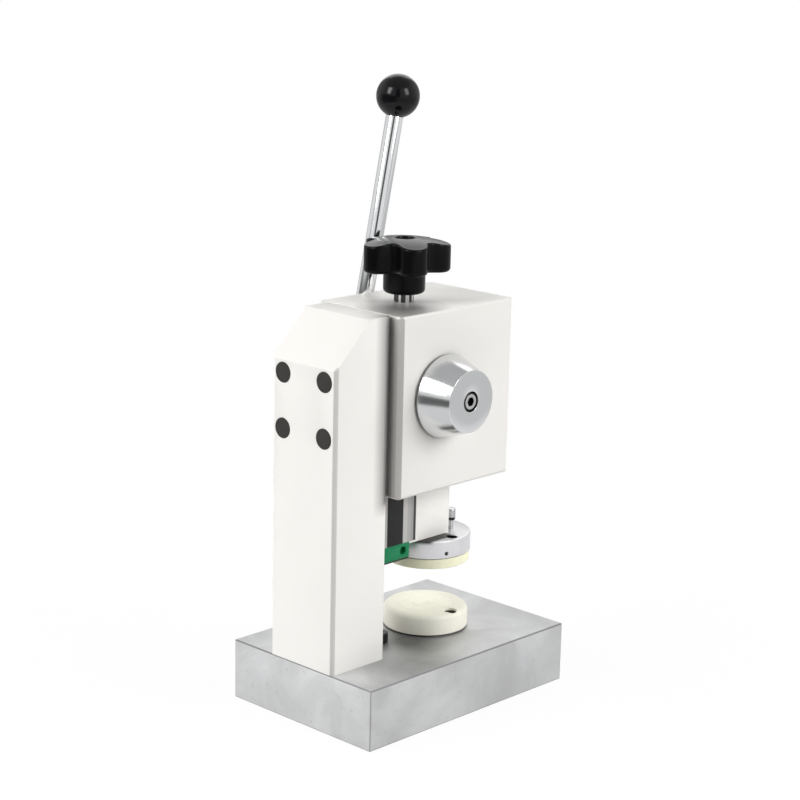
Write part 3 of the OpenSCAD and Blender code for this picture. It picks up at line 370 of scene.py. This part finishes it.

# Parts of a look in another colour, as surface takes them, in millimetres. Most of them are
# painted light, painted shade and painted reflections
AREAS = {
    "column_paint": (
        # The slope at the back of its top, and its left side, painted paler: painted light
        ({"X": (-24.4, 26), "Z": (205.2, 229.6)}, 0.3, 1.08),
        ({"X": (-26, -24.6)}, 0.3, 1.08),
        # The bevel between its back and its left side, painted darker: painted shade
        ({"X": (-24.9, -23.1), "Y": (78.1, 79.9)}, 0.15, 0.78),
        # Shade above the base, and beside the head
        ({"X": (-26, -24.6), "Z": (34, 36)}, 12.0, 0.95),
        ({"X": (-26, -24.6), "Y": (38, 43), "Z": (126, 232)}, 8.0, 0.5),
        ({"X": (-26, -24.6), "Y": (38, 40.5), "Z": (127, 232)}, 3.0, 0.25)),
    "head_paint": (
        # Its upper side painted paler as painted light, with two patches of painted shade at the
        # star knob
        ({"Z": (HEAD_TOP - 1.3, HEAD_TOP + 1)}, 0.3, 1.08),
        ({"R": ("Z", (-24, 32), 0, 6), **HEAD_UPPER_SIDE}, 26.0, 0.5),
        ({"R": ("Z", (-12, 17), 0, 6), **HEAD_UPPER_SIDE}, 22.0, 0.3),
        # The bevel between its left side and its back, painted darker: painted shade
        ({"X": (-34, -30.1), "Y": (36.6, 40)}, 0.15, 0.64),
        # Painted shade on the strips of its back beside the column
        ({"X": (-29.9, -24), "Y": (38.7, 40)}, 0.2, 0.58),
        ({"X": (-26, -24), "Y": (38.7, 40)}, 2.5, 0.62),
        ({"X": (24, 29), "Y": (38.6, 40)}, 2.0, 0.75)),
    "base_steel": (
        # Its left side and its upper side painted darker, and on the upper side a painted
        # reflection at the column's foot and painted shade under the head
        ({"X": (-56, -54.9)}, 0.1, 0.92),
        (UPPER_SIDE, 0.1, 0.87),
        ({"R": ("Z", (-44, 36), 0, 10), **UPPER_SIDE}, 24.0, 0.68),
        ({"R": ("Z", (-14, 9), 0, 6), **UPPER_SIDE}, 20.0, 0.36),
        # The bevels of its upper and lower edges and of its corners, painted dark: a painted
        # reflection
        ({"Z": (BASE_TOP - 0.7, BASE_TOP - 0.15)}, 0.1, PAINTED_BEVEL_DARK),
        ({"Z": (-1, 0.75)}, 0.1, PAINTED_BEVEL_DARK),
        *[({"X": x, "Y": y}, 0.1, PAINTED_BEVEL_DARK)
          for x in ((-56, -54.5), (54.5, 56)) for y in ((-81, -79.5), (79.5, 81))]),
    "collar_steel": (
        # Painted reflections: pale strips on two of its faces
        ({"X": (-2.4, -0.9)}, 0.2, (0.95, 0.95, 0.95)),
        ({"X": (-5.0, -4.2)}, 0.2, (0.9, 0.9, 0.9))),
    "guide_steel": (
        # Its ground faces towards the ram and towards the rail
        ({"Y": (0, 15)}, 0.15, (0.4, 0.4, 0.39)),
        ({"Y": (15, 18.1)}, 0.3, (0.5, 0.49, 0.47)),
        ({"Y": (31, 40)}, 0.15, (0.42, 0.41, 0.4))),
    "cap_screw_steel": (
        # The bright ring around its socket
        ({"R": (*ON_SHAFT, 2.5, 4.1), "X": (-54, -52)}, 0.15, (0.62, 0.62, 0.62)),),
    "plate_steel": (
        # Its edge towards the ram
        ({"Y": (10, 13)}, 0.2, (0.38, 0.37, 0.36)),),
    "turned_steel": (
        # The end cap's face painted paler as painted light, and painted shade on its rim at the
        # head and in its counterbore
        ({"X": (-54, -52.2)}, 0.1, (0.86, 0.87, 0.88)),
        ({"R": (*ON_SHAFT, 22.8, 25), "X": (-34.3, -32)}, 0.15, (0.25, 0.25, 0.25)),
        ({"R": (*ON_SHAFT, 0, 5.7), "X": (-52.2, -30)}, 0.15, (0.08, 0.08, 0.08))),
    "flange_aluminium": (
        # Its upper side duller, partly a finish of its own and partly painted shade, and a
        # painted reflection of dark beside the ram
        ({"R": (*ON_PUNCH, 0, 24.2), "Z": (RAM_Z - 0.1, 95)}, 0.15, (0.66, 0.66, 0.67)),
        ({"X": (-18, -9), "Y": (-21, 8), "Z": (RAM_Z - 0.1, 95)}, 2.0, BLACK),
        # Painted shade on its lower edge and on the wall of the access hole
        ({"Z": (80, FLANGE_Z + 0.35)}, 0.1, (0.15, 0.15, 0.15)),
        ({"R": (*ON_ACCESS, 0, 3.02)}, 0.1, BLACK)),
    "pad_nylon": (
        # Painted shade on the bevel of its foot and on the wall of the screw's hole
        ({"Z": (BASE_TOP - 1, BASE_TOP + 1.1)}, 0.1, (0.13, 0.12, 0.09)),
        ({"R": (*ON_ACCESS, 0, 3.7), "Z": (BASE_TOP, BASE_TOP + 11.6)}, 0.1,
         (0.14, 0.12, 0.09))),
}

PAINT = {"colour": WHITE, "rough": 0.42, "cloud": (14, 0.012), "bump": 0.12}

# What surface is given for each look
FINISHES = {
    "body_paint": PAINT,
    "column_paint": PAINT,
    "head_paint": PAINT,
    # The ram's paler white is painted light
    "ram_paint": {**PAINT, "colour": RAM_WHITE_PAINTED_LIGHT},
    "base_steel": {"colour": (0.68, 0.685, 0.69), "metallic": 0.6, "rough": 0.5,
                   "cloud": (24, 0.15), "grain": (60, 1500, 1500), "bump": 0.18, "fleck": 0.25},
    "bright_steel": {"colour": (0.68, 0.69, 0.7), "metallic": 1.0, "rough": 0.26,
                     "cloud": (90, 0.06), "grain": (1600, 1600, 60), "bump": 0.1},
    "collar_steel": {"colour": (0.1, 0.1, 0.1), "metallic": 1.0, "rough": 0.2,
                     "cloud": (90, 0.1), "bump": 0.1},
    "guide_steel": {"colour": (0.008, 0.0078, 0.008), "metallic": 0.1, "rough": 0.6,
                    "cloud": (120, 0.12), "bump": 0.15},
    "chrome_rod": {"colour": (0.86, 0.87, 0.88), "metallic": 1.0, "rough": 0.1,
                   "cloud": (60, 0.02), "bump": 0.02},
    "black_oxide": {"colour": (0.03, 0.03, 0.032), "metallic": 0.7, "rough": 0.38,
                    "cloud": (160, 0.25), "bump": 0.2},
    "cap_screw_steel": {"colour": (0.06, 0.06, 0.06), "metallic": 0.8, "rough": 0.3,
                        "cloud": (160, 0.1), "turned": ON_SHAFT, "bump": 0.15},
    "plate_steel": {"colour": (0.05, 0.048, 0.045), "metallic": 0.4, "rough": 0.45,
                    "cloud": (80, 0.2), "grain": (1400, 1400, 60), "bump": 0.2},
    "turned_steel": {"colour": (0.74, 0.75, 0.76), "metallic": 1.0, "rough": 0.13,
                     "cloud": (60, 0.03), "turned": ON_SHAFT, "bump": 0.12},
    "flange_aluminium": {"colour": (0.88, 0.88, 0.9), "metallic": 0.85, "rough": 0.34,
                         "cloud": (60, 0.05), "turned": ON_PUNCH, "bump": 0.2},
    "bronze": {"colour": (0.56, 0.37, 0.15), "metallic": 1.0, "rough": 0.32,
               "cloud": (90, 0.12), "bump": 0.1},
    "green_plastic": {"colour": (0.006, 0.19, 0.075), "rough": 0.4, "cloud": (90, 0.12),
                      "bump": 0.12, "fleck": 0.15, "Specular_IOR_Level": 0.3},
    "seal_rubber": {"colour": (0.018, 0.018, 0.018), "rough": 0.6, "cloud": (140, 0.2),
                    "bump": 0.2},
    "knob_plastic": {"colour": (0.003, 0.003, 0.004), "rough": 0.16, "cloud": (70, 0.2),
                     "bump": 0.02, "fleck": 0.1, "Specular_IOR_Level": 0.28},
    "star_plastic": {"colour": (0.002, 0.002, 0.0025), "rough": 0.24, "cloud": (70, 0.2),
                     "bump": 0.05, "fleck": 0.1, "Specular_IOR_Level": 0.16},
    "plug_plastic": {"colour": (0.024, 0.022, 0.019), "rough": 0.5, "cloud": (200, 0.15),
                     "bump": 0.25},
    "stripper_rubber": {"colour": (0.97, 0.95, 0.7), "rough": 0.5, "cloud": (60, 0.04),
                        "bump": 0.1},
    "pad_nylon": {"colour": (0.98, 0.955, 0.84), "rough": 0.45, "cloud": (45, 0.035),
                  "bump": 0.12, "fleck": 0.08},
}

LOOKS = {name: surface(name, areas=AREAS.get(name, ()), **finish)
         for name, finish in FINISHES.items()}


# Mesh building

# Points on each rounded corner of a profile, less one
ARC_STEPS = 4

# Points closer than this, in metres, are joined after a cut
CUT_JOIN, CUT_SLIVER = 4e-6, 2e-6


def from_bmesh(bm, name, sharp=30):
    """An object of the mesh, shaded smooth but for edges over sharp degrees."""
    bmesh.ops.recalc_face_normals(bm, faces=bm.faces)
    mesh = bpy.data.meshes.new(name)
    bm.to_mesh(mesh)
    bm.free()
    mesh.shade_smooth()
    mesh.set_sharp_from_angle(angle=math.radians(sharp))
    piece = bpy.data.objects.new(name, mesh)
    bpy.context.scene.collection.objects.link(piece)
    return piece


def stand_for(piece, node, look=None):
    """The piece takes the node's place, body and material slot."""
    slot = SLOT_OF[node]
    piece.data.materials.clear()
    piece.data.materials.append(LOOKS[look or slot])
    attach(piece, BODY_OF[node])
    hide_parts(node)


def rounded(corners):
    """The corners (r, h, fillet) of a profile as points, each fillet as an arc."""
    points = []
    for i, corner in enumerate(corners):
        here = Vector(corner[:2])
        fillet = corner[2] if len(corner) > 2 else 0
        if not fillet:
            points.append(tuple(here))
            continue
        a = (Vector(corners[i - 1][:2]) - here).normalized()
        b = (Vector(corners[(i + 1) % len(corners)][:2]) - here).normalized()
        half = a.angle(b) / 2
        run = fillet / math.tan(half)
        centre = here + (a + b).normalized() * (fillet / math.sin(half))
        start, end = here + a * run - centre, here + b * run - centre
        turn = start.angle(end)
        for k in range(ARC_STEPS + 1):
            w = k / ARC_STEPS
            s = (math.sin((1 - w) * turn) * start + math.sin(w * turn) * end) / math.sin(turn)
            points.append(tuple(centre + s))
    return points


def revolve(bm, points, segments, place, rib=None):
    """A closed profile of (r, h) turned about the local Z axis, then placed, in millimetres."""
    rings = []
    for r, h in points:
        if r < 1e-6:
            rings.append([bm.verts.new(place @ Vector((0, 0, h)) * MM)] * segments)
            continue
        ring = []
        for k in range(segments):
            angle = 2 * math.pi * k / segments
            s = rib(r, h, angle) if rib else r
            p = Vector((s * math.cos(angle), s * math.sin(angle), h))
            ring.append(bm.verts.new(place @ p * MM))
        rings.append(ring)
    for i, ring in enumerate(rings):
        after = rings[(i + 1) % len(rings)]
        for k in range(segments):
            quad = [ring[k], ring[(k + 1) % segments], after[(k + 1) % segments], after[k]]
            corners = list(dict.fromkeys(quad))
            if len(corners) > 2:
                bm.faces.new(corners)


def placed(x, y, z, axis=(0, 0, 1)):
    """Matrix that stands a piece's local Z along axis, at a place in millimetres."""
    turn = Vector(axis).to_track_quat("Z", "Y").to_matrix().to_4x4()
    return Matrix.Translation((x, y, z)) @ turn


def lathe(name, corners, places, segments):
    bm = bmesh.new()
    for place in places:
        revolve(bm, rounded(corners), segments, place)
    return from_bmesh(bm, name)


def cut(piece, tools, operation="DIFFERENCE"):
    """Cuts the tools out of the piece, or keeps what they share, and removes them."""
    for tool in tools:
        change = piece.modifiers.new("cut", "BOOLEAN")
        change.operation = operation
        change.solver = "EXACT"
        change.object = tool
    bpy.context.view_layer.update()
    held = piece.evaluated_get(bpy.context.evaluated_depsgraph_get())
    mesh = bpy.data.meshes.new_from_object(held)
    bm = bmesh.new()
    bm.from_mesh(mesh)
    bmesh.ops.remove_doubles(bm, verts=bm.verts, dist=CUT_JOIN)
    bmesh.ops.dissolve_degenerate(bm, edges=bm.edges, dist=CUT_SLIVER)
    bm.to_mesh(mesh)
    bm.free()
    piece.modifiers.clear()
    old = piece.data
    piece.data = mesh
    bpy.data.meshes.remove(old)
    for tool in tools:
        bpy.data.objects.remove(tool)
    mesh.shade_smooth()
    mesh.set_sharp_from_angle(angle=math.radians(30))


def turned_piece(node, corners, places, segments, tools=(), name=None):
    """A turned piece with tools cut out of it, in the node's place."""
    piece = lathe(name or node + "_piece", corners, places, segments)
    if tools:
        cut(piece, tools)
    stand_for(piece, node)


def bar(d, low, high, place, chamfer=0.0):
    """A cutting cylinder from low to high along the place's axis, widened at its top edge."""
    r = d / 2
    return lathe("tool", [(0, low), (r, low), (r, high - chamfer), (r + chamfer, high),
                          (r + chamfer, high + 2), (0, high + 2)], [place], 48)


def corner_r(across):
    """Radius to the corners of a hexagon, from its width across flats."""
    return across / 2 / math.cos(math.pi / 6)


def hex_bar(across, low, high, place):
    r = corner_r(across)
    return lathe("tool", [(0, low), (r, low), (r, high), (0, high)], [place], 6)


def soften(node, width, look=None):
    """A copy of a CAD solid with its sharp edges rounded."""
    bm = bmesh.new()
    bm.from_mesh(NODES[node].data)
    bmesh.ops.remove_doubles(bm, verts=bm.verts, dist=1e-6)
    bmesh.ops.dissolve_limit(bm, angle_limit=math.radians(1), verts=bm.verts, edges=bm.edges)
    edges = [e for e in bm.edges
             if len(e.link_faces) == 2 and e.calc_face_angle(0) > math.radians(24)]
    bmesh.ops.bevel(bm, geom=edges, offset=width * MM, segments=3, profile=0.5,
                    affect="EDGES", clamp_overlap=True)
    bmesh.ops.triangulate(bm, faces=[f for f in bm.faces if len(f.verts) > 4])
    stand_for(from_bmesh(bm, node + "_piece", 40), node, look)


# Screws and nuts

RIBS = 36


def cap_screw(node, d, length, places):
    """Socket head cap screws with knurled, rounded heads, for a thread of diameter d."""
    head = 0.75 * d + 0.5
    rib_low, rib_high = 0.15 * d, 0.85 * d
    points = rounded([
        (0, -length), (d / 2 - 0.4, -length), (d / 2, -length + 0.4), (d / 2, 0),
        (head, 0, 0.2), (head, d, 0.1 * d), (0, d)])
    last = max(i for i, p in enumerate(points) if p[1] < rib_low and p[0] > head - 0.01)
    points[last + 1:last + 1] = [(head, rib_low), (head, 0.16 * d), (head, 0.84 * d),
                                 (head, rib_high)]

    def rib(r, h, angle):
        if r > head - 0.06 * d and rib_low < h < rib_high:
            return r - 0.012 * d * (1 + math.cos(RIBS * angle))
        return r

    bm = bmesh.new()
    for place in places:
        revolve(bm, points, RIBS * 4, place, rib)
    piece = from_bmesh(bm, node + "_piece", 35)
    cut(piece, [hex_bar(0.75 * d + 0.25, d / 2, d + 2, place) for place in places])
    stand_for(piece, node)


def hex_ring(node, across, low, high, bore_r, places, chamfer, look=None):
    """Six-sided nuts or collars with their corners turned off."""
    r, flat = corner_r(across), across / 2
    bm = bmesh.new()
    for place in places:
        revolve(bm, [(bore_r, low), (r, low), (r, high), (bore_r, high)], 6, place)
    piece = from_bmesh(bm, node + "_piece")
    round_off = lathe("tool", [
        (0, low), (flat, low), (r + 0.2, low + chamfer), (r + 0.2, high - chamfer),
        (flat, high), (0, high)], places, 96)
    cut(piece, [round_off], "INTERSECT")
    cut(piece, [bar(2 * bore_r, low - 1, high - 0.2, place, 0.2) for place in places])
    stand_for(piece, node, look)


def screws():
    cap_screw("end_cap_screw", 6, 17.2, [placed(CAP_X - 13.2, SHAFT_Y, SHAFT_Z, (-1, 0, 0))])
    cap_screw("hub_screw", 6, 16.1, [placed(HUB_X + 15.6, SHAFT_Y, SHAFT_Z, (1, 0, 0))])
    cap_screw("base_screw", 6, 12, [placed(-3.7, 22, BASE_TOP)])
    cap_screw("pad_screw", 4, 12, [placed(-ACCESS_R, PUNCH_Y, BASE_TOP + 5)])
    cap_screw("column_bolts", 8, 44,
              [placed(x, y, 11, (0, 0, -1)) for x in (-14, 14) for y in (51, 67)])


# Star knob

LOBES, STAR_TURN = 5, math.radians(5.4)
STAR_R, LOBE_R, STAR_CORE = 25.5, 8.0, 15.5
STAR_Z, STAR_H, STAR_DOME = KNOB_Z + 12.5, 15.0, 3.5
STAR_SEGMENTS = 200

# How softly the lobes run into the core, and the steps that find the outline
STAR_BLEND, STAR_STEPS = 5.0, 26

# Rounds of the knob: its lower and upper edge, the hub's foot and the hub's neck
STAR_FOOT, STAR_BROW, HUB_FOOT, HUB_NECK = 2.2, 1.3, 2.4, 0.8
KNOB_HUB_R, KNOB_BORE_R, KNOB_BORE_DEPTH = 11.75, 5.02, 13

# The round hollow in its top, and the ring around it up to which the star's shape fades
DIMPLE_R, DIMPLE_DEPTH, DIMPLE_RIM = 5.5, 3, 6.0


def star_field(x, y):
    """Signed distance to the star's outline, with its inner corners filled."""
    distance = math.hypot(x, y) - STAR_CORE
    for k in range(LOBES):
        a = STAR_TURN + 2 * math.pi * k / LOBES
        reach = max(0.0, min(STAR_R - LOBE_R, x * math.cos(a) + y * math.sin(a)))
        arm = math.hypot(x - reach * math.cos(a), y - reach * math.sin(a)) - LOBE_R
        share = max(STAR_BLEND - abs(distance - arm), 0.0) / STAR_BLEND
        distance = min(distance, arm) - share * share * STAR_BLEND / 4
    return distance


def star_radius(angle, inset):
    """Radius at which the outline lies in this direction, moved inwards by inset."""
    low, high = 5.0, STAR_R + 3
    for _ in range(STAR_STEPS):
        middle = (low + high) / 2
        inside = star_field(middle * math.cos(angle), middle * math.sin(angle)) < -inset
        low, high = (middle, high) if inside else (low, middle)
    return low


def star_knob():
    """The knob as rings of points, from its bore down, out and up to the hollow in its top."""
    angles = [2 * math.pi * k / STAR_SEGMENTS for k in range(STAR_SEGMENTS)]
    rings = []

    def dome(r):
        return STAR_Z + STAR_H + STAR_DOME * (1 - (r / STAR_R) ** 2)

    def outline(inset):
        return [star_radius(a, inset) for a in angles]

    def add(radii, heights):
        rings.append([Vector((r * math.cos(a), SHAFT_Y + r * math.sin(a), h))
                      for r, a, h in zip(radii, angles, heights)])

    def even(r, h):
        add([r] * STAR_SEGMENTS, [h] * STAR_SEGMENTS)

    def quarter(steps):
        """Angles of a quarter turn in equal steps."""
        return [math.pi / 2 * k / steps for k in range(steps + 1)]

    even(1e-3, KNOB_Z + KNOB_BORE_DEPTH)
    even(KNOB_BORE_R, KNOB_Z + KNOB_BORE_DEPTH)
    even(KNOB_BORE_R, KNOB_Z)
    for turn in quarter(6):
        even(KNOB_HUB_R - HUB_FOOT + HUB_FOOT * math.sin(turn),
             KNOB_Z + HUB_FOOT - HUB_FOOT * math.cos(turn))
    for turn in quarter(4):
        even(KNOB_HUB_R + HUB_NECK - HUB_NECK * math.cos(turn),
             STAR_Z - HUB_NECK + HUB_NECK * math.sin(turn))
    for turn in quarter(6):
        add(outline(STAR_FOOT * (1 - math.sin(turn))),
            [STAR_Z + STAR_FOOT * (1 - math.cos(turn))] * STAR_SEGMENTS)
    inner = outline(STAR_BROW)
    for turn in quarter(5):
        add(outline(STAR_BROW * (1 - math.cos(turn))),
            [dome(r) - STAR_BROW * (1 - math.sin(turn)) for r in inner])
    for k in range(1, 9):
        w = k / 8
        radii = [r * (1 - w) + DIMPLE_RIM * w for r in inner]
        add(radii, [dome(r) for r in radii])
    even(DIMPLE_R + 0.2, dome(DIMPLE_R + 0.2) - 0.1)
    even(DIMPLE_R, dome(DIMPLE_R) - 0.4)
    even(DIMPLE_R, STAR_Z + STAR_H + STAR_DOME - DIMPLE_DEPTH)
    even(1e-3, STAR_Z + STAR_H + STAR_DOME - DIMPLE_DEPTH)

    bm = bmesh.new()
    made = [[bm.verts.new(p * MM) for p in ring] for ring in rings]
    for a, b in zip(made, made[1:]):
        for k in range(STAR_SEGMENTS):
            after = (k + 1) % STAR_SEGMENTS
            bm.faces.new([a[k], a[after], b[after], b[k]])
    bmesh.ops.remove_doubles(bm, verts=bm.verts, dist=2e-6)
    stand_for(from_bmesh(bm, "star_knob_piece", 40), "star_knob", "star_plastic")


# Turned pieces

BALL_R, BALL_POINTS = 12.5, 40
BALL_FOOT = LEVER_L - BALL_R + 1
SET_SCREW_WAY = (math.cos(math.radians(160)), math.sin(math.radians(160)), 0)
STUD_R, STUD_HEAD_R, STUD_HEAD_H, STUD_GROOVE = 1.5, 2.75, 5.2, 0.35
PAD_R, PAD_T, PAD_FOOT, PAD_ROUND = 24.5, 13, 1.2, 3.2
PAD_CUTS, PAD_CUT_W, PAD_CUT_DEPTH = (16.4, 8.1, 7.6), 0.22, 0.16

LEFT_PLACE = placed(CAP_X, SHAFT_Y, SHAFT_Z, (-1, 0, 0))
RIGHT_PLACE = placed(HUB_X, SHAFT_Y, SHAFT_Z, (1, 0, 0))
ROD_PLACE = placed(ROD_X, SHAFT_Y, SHAFT_Z, (0.0, -math.sin(TILT), math.cos(TILT)))
PUNCH_PLACE = placed(0, PUNCH_Y, 0)
ACCESS_PLACE = placed(-ACCESS_R, PUNCH_Y, 0)


def lever_pieces():
    turned_piece("shaft_end_cap", [
        (3.3, 10.0), (7.02, 10.0), (7.02, 0), (23.5, 0, 0.25), (23.5, 1.5, 0.4),
        (17.5, 19.5, 0.3), (5.75, 19.5, 0.2), (5.75, 13.2), (3.3, 13.2)], [LEFT_PLACE], 160,
        name="end_cap_piece")

    sweep = math.pi - math.acos((LEVER_L - BALL_FOOT) / BALL_R)
    ball = [(0, BALL_FOOT + 9.2), (4.05, BALL_FOOT + 9.2), (4.05, BALL_FOOT)]
    ball += [(BALL_R * math.sin(a), LEVER_L + BALL_R * math.cos(a))
             for a in [sweep * (1 - k / BALL_POINTS) for k in range(BALL_POINTS)]]
    ball += [(0, LEVER_L + BALL_R)]
    turned_piece("ball_knob", ball, [ROD_PLACE], 96)

    turned_piece("lever_rod", [
        (0, 7.2), (3.6, 7.2), (4.0, 7.6), (4.0, 15.0), (5.0, 15.0, 0.3), (5.0, BALL_FOOT, 0.4),
        (4.0, BALL_FOOT), (4.0, BALL_FOOT + 8.3), (3.4, BALL_FOOT + 8.9),
        (0, BALL_FOOT + 8.9)], [ROD_PLACE], 64)


def column_plugs():
    turned_piece("bolt_plugs", [
        (0, 0), (5.7, 0), (5.73, 3.0), (5.73, 3.4, 0.3), (4.4, 3.42), (0, 3.4)],
        [placed(x, 77, z, (0, 1, 0)) for x in (-16, 16) for z in (167, 198)], 64)


def tool_pieces():
    turned_piece("stripper_ring", [
        (9.8, RING_Z, 0.3), (24.5, RING_Z, 0.7), (24.5, FLANGE_Z, 0.4), (9.8, FLANGE_Z)],
        [PUNCH_PLACE], 128, [bar(6, RING_Z - 1, FLANGE_Z + 1, ACCESS_PLACE)])

    holes = [bar(6, FLANGE_Z - 1, RAM_Z, ACCESS_PLACE, 0.3),
             bar(2.1, 8, 24.8, placed(0, PUNCH_Y, FLANGE_Z + 3, SET_SCREW_WAY), 0.2)]
    holes += [bar(9.1, FLANGE_Z - 1, FLANGE_Z + 5.2, placed(x, PUNCH_Y + 14.5, 0))
              for x in (-8, 8)]
    turned_piece("tool_flange", [
        (3, FLANGE_Z + 6), (11.02, FLANGE_Z + 6), (11.02, FLANGE_Z), (25, FLANGE_Z, 0.5),
        (25, RAM_Z, 0.6), (3, RAM_Z, 0.2)], [PUNCH_PLACE], 128, holes)

    turned_piece("ring_knife", [
        (8, RING_Z), (8.12, RING_Z), (9.5, RING_Z + 2.5, 0.3), (9.5, FLANGE_Z, 0.3),
        (11, FLANGE_Z), (11, FLANGE_Z + 6), (8, FLANGE_Z + 6)], [PUNCH_PLACE], 128)


def cutting_pad():
    """The pad with the cuts of knives in its top, a mark in its middle and a screw's hole."""
    top = BASE_TOP + PAD_T
    corners = [(0, BASE_TOP), (PAD_R - PAD_FOOT, BASE_TOP), (PAD_R, BASE_TOP + PAD_FOOT),
               (PAD_R, top, PAD_ROUND)]
    for r in PAD_CUTS:
        corners += [(r + PAD_CUT_W, top), (r, top - PAD_CUT_DEPTH), (r - PAD_CUT_W, top)]
    corners += [(0.9, top), (0, top - 0.5)]
    turned_piece("cutting_pad", corners, [PUNCH_PLACE], 160,
                 [bar(4.6, BASE_TOP - 1, top - 5, ACCESS_PLACE),
                  bar(7.3, top - 8, top - 0.4, ACCESS_PLACE, 0.4)])


def hub_pieces():
    turned_piece("lever_hub", [
        (7.02, 0, 0.2), (15, 0, 1), (15, 14, 1), (7.02, 14, 0.2)], [RIGHT_PLACE], 128,
        [bar(8.1, 7, 14.8, ROD_PLACE, 0.3)])
    turned_piece("hub_washer", [
        (3.3, 0, 0.1), (10, 0, 0.3), (10, 1.6, 0.3), (3.3, 1.6, 0.1)],
        [placed(HUB_X + 14, SHAFT_Y, SHAFT_Z, (1, 0, 0))], 96)


def stud_pieces():
    """Studs with three grooves around each head, and their nuts."""
    studs = [placed(x, PUNCH_Y - 11, 0) for x in (-8, 8)]
    foot, head = FLANGE_Z - 2, RAM_Z + 7.2
    corners = [(0, foot), (STUD_R - 0.3, foot), (STUD_R, foot + 0.3), (STUD_R, head),
               (STUD_HEAD_R, head, 0.2)]
    for k in (1, 2, 3):
        h = head + k * STUD_HEAD_H / 4
        deep_r = STUD_HEAD_R - 0.3
        corners += [(STUD_HEAD_R, h - STUD_GROOVE), (deep_r, h - 0.18), (deep_r, h + 0.18),
                    (STUD_HEAD_R, h + STUD_GROOVE)]
    corners += [(STUD_HEAD_R, head + STUD_HEAD_H, 0.9), (0, head + STUD_HEAD_H)]
    turned_piece("stripper_studs", corners, studs, 48)
    hex_ring("stud_nuts", 4.8, head - 1.7, head, STUD_R + 0.05, studs, 0.25)


add_camera()
for lamp in LAMPS:
    add_lamp(*lamp)
set_world()
add_floor()

for name, node in NODES.items():
    node.data.materials.clear()
    node.data.materials.append(LOOKS[SLOT_OF[name]])

lever_pieces()
column_plugs()
tool_pieces()
cutting_pad()
hub_pieces()
stud_pieces()
hex_ring("threaded_bush", 10, HEAD_TOP, HEAD_TOP + 4.5, 3.04, [placed(0, SHAFT_Y, 0)], 0.7,
         "collar_steel")
screws()
star_knob()
for name, width, look in (
        ("base_plate", 0.2, None), ("guide_block", 0.3, None), ("guide_end_caps", 0.4, None),
        ("slide_plate", 0.25, None), ("ram", 0.3, "ram_paint"),
        ("column", 0.3, "column_paint"), ("head_housing", 0.3, "head_paint")):
    soften(name, width, look)

bpy.context.scene.view_settings.view_transform = "Standard"
